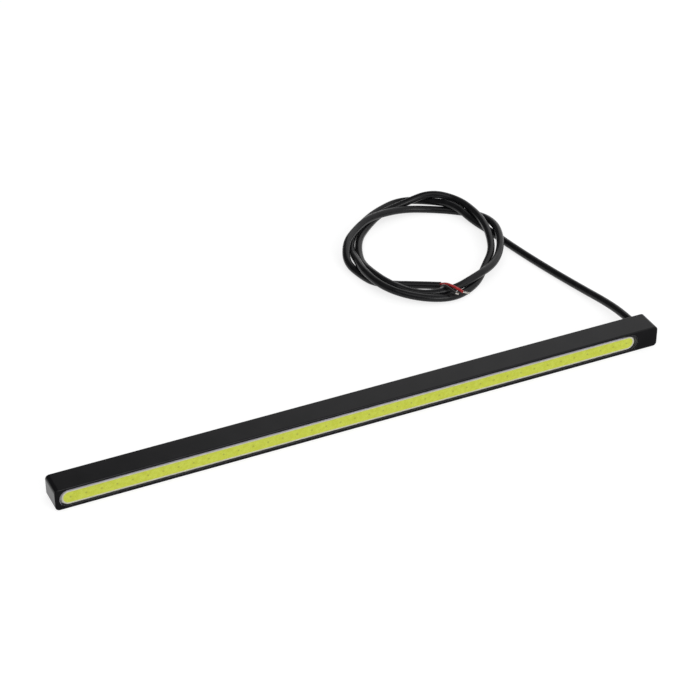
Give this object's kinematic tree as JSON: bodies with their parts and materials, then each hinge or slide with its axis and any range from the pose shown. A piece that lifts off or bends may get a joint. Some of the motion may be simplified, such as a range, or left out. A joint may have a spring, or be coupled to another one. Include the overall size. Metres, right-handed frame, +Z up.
{
  "type": "led light strip",
  "caption": "Slim black light bar with a clear lens over a yellow chip-on-board strip and a black cable lying loosely coiled behind it.",
  "frame": {"origin": "middle of the bar's lower long face", "axes": "+X along the bar towards the cable end, -Y the way the light looks, +Z up from the lower face"},
  "size_m": [0.3, 0.174, 0.0108],
  "materials": {
    "housing_black": "satin",
    "clear_lens": "clear gloss",
    "sealant": "satin",
    "board_metal": "white solder mask",
    "tape_grey": "matte",
    "dam_white": "matte",
    "phosphor": "soft gel",
    "die_blue": "polished chip",
    "chip_black": "matte",
    "solder": "tinned",
    "cable_jacket": "satin",
    "core_red": "satin",
    "core_black": "satin"
  },
  "bodies": {
    "root": {"housing": "housing_black", "rear_cover": "housing_black", "cover_seal": "sealant", "lens": "clear_lens", "lens_seal": "sealant", "led_board": "board_metal", "board_tape": "tape_grey", "dam_bead": "dam_white", "phosphor_fill": "phosphor", "led_dies": "die_blue", "resistors": "chip_black", "polarity_diode": "chip_black", "solder_joints": "solder", "red_core_inner": "core_red", "black_core_inner": "core_black", "cable_grommet": "cable_jacket", "cable_lead": "cable_jacket", "cable_coil": "cable_jacket", "red_core": "core_red", "black_core": "core_black", "red_core_tip": "solder", "black_core_tip": "solder"}
  },
  "joints": []
}
